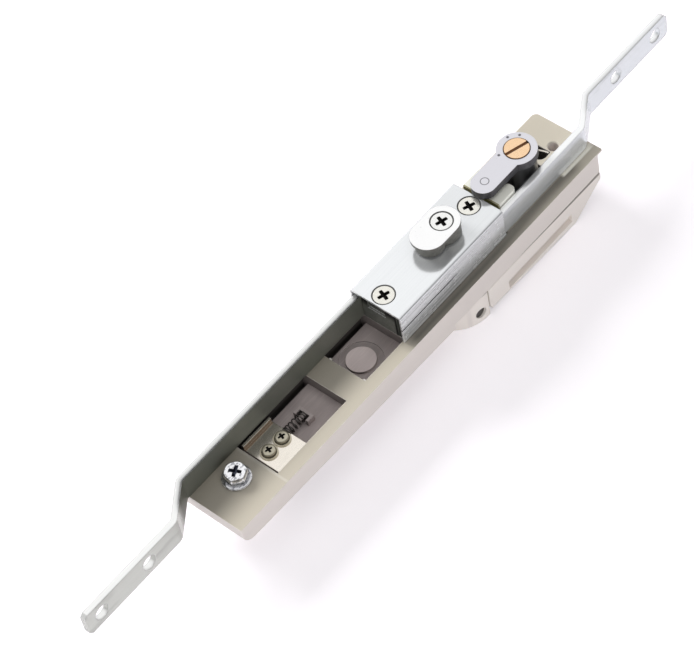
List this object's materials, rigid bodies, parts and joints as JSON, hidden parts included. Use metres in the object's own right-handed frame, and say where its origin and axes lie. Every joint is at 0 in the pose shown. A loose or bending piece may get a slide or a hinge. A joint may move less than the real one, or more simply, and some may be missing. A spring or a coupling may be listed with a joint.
{
  "type": "two point rod lock",
  "caption": "Lift-and-turn handle lock for a cabinet door: a geared spindle drives two flat rods in opposite directions, with a key cylinder, two cams and a sprung release slide.",
  "frame": {"origin": "on the spindle axis, in the plane of the base's back face", "axes": "+X along the rods towards the key cylinder, +Y towards the side of the rod that leaves towards -X, +Z out of the back of the base"},
  "size_m": [0.3359, 0.033, 0.0471],
  "materials": {
    "cast_paint": "fine textured lacquer over zinc casting",
    "lever_paint": "fine textured lacquer over zinc casting",
    "raw_casting": "bare zinc casting",
    "cam_casting": "tumbled zinc casting",
    "zinc_sheet": "bright zinc plated",
    "rod_steel": "bright zinc plated",
    "rack_steel": "cut and oiled",
    "screw_steel": "nickel plated",
    "small_screw_steel": "zinc plated",
    "spring_wire": "oiled spring wire",
    "plug_metal": "machined",
    "brass_bright": "turned, lightly tarnished",
    "cylinder_metal": "satin chromed",
    "bush_bronze": "sintered bronze",
    "seal_rubber": "black",
    "button_plastic": "fine grained"
  },
  "bodies": {
    "base": {"housing": "cast_paint", "spindle_bush": "bush_bronze", "spindle_seal": "seal_rubber", "gearbox_body": "raw_casting", "gearbox_cover": "zinc_sheet", "cover_screws": "screw_steel", "lock_cylinder": "cylinder_metal", "cylinder_clip": "spring_wire", "cylinder_keeper": "zinc_sheet", "mounting_screw": "screw_steel", "slide_spring": "spring_wire"},
    "turning_head": {"swivel_head": "lever_paint", "handle_pin": "screw_steel", "spindle": "rack_steel", "pinion": "rack_steel", "cam_collar": "cam_casting", "centre_cam": "cam_casting", "centre_cam_screw": "screw_steel"},
    "lever": {"lever_handle": "lever_paint"},
    "lower_rod_body": {"lower_rod": "rod_steel", "lower_rack": "rack_steel", "lower_rack_rivets": "rod_steel"},
    "upper_rod_body": {"upper_rod": "rod_steel", "upper_rack": "rack_steel", "upper_rack_rivets": "rod_steel"},
    "key_cam_body": {"lock_plug": "plug_metal", "key_cam": "cam_casting", "brass_screw": "brass_bright"},
    "release_slide": {"release_button": "button_plastic", "slide_plate": "zinc_sheet", "slide_washers": "small_screw_steel", "slide_screws": "small_screw_steel", "spring_follower": "button_plastic"}
  },
  "joints": [
    {"name": "handle_turn", "type": "hinge", "parent": "base", "child": "turning_head", "pos_m": [0, 0, 0], "axis": [0, 0, -1], "range_deg": [0, 90]},
    {"name": "handle_lift", "type": "hinge", "parent": "turning_head", "child": "lever", "pos_m": [-0.0031, 0, -0.02], "axis": [0, 1, 0], "range_deg": [0, 18]},
    {"name": "lower_rod_slide", "type": "slide", "parent": "base", "child": "lower_rod_body", "axis": [1, 0, 0], "range_m": [0, 0.0103]},
    {"name": "upper_rod_slide", "type": "slide", "parent": "base", "child": "upper_rod_body", "axis": [-1, 0, 0], "range_m": [0, 0.0103]},
    {"name": "key_turn", "type": "hinge", "parent": "base", "child": "key_cam_body", "pos_m": [0.04455, 0, 0], "axis": [0, 0, 1], "range_deg": [0, 90]},
    {"name": "slide_release", "type": "slide", "parent": "base", "child": "release_slide", "axis": [1, 0, 0], "range_m": [0, 0.0045], "stiffness_N_per_m": 2400, "springref_m": -0.0008, "deforming": ["slide_spring"]}
  ],
  "couplings": [
    {"joint": "lower_rod_slide", "follows": "handle_turn", "m_per_rad": 0.0065},
    {"joint": "upper_rod_slide", "follows": "handle_turn", "m_per_rad": 0.0065}
  ]
}
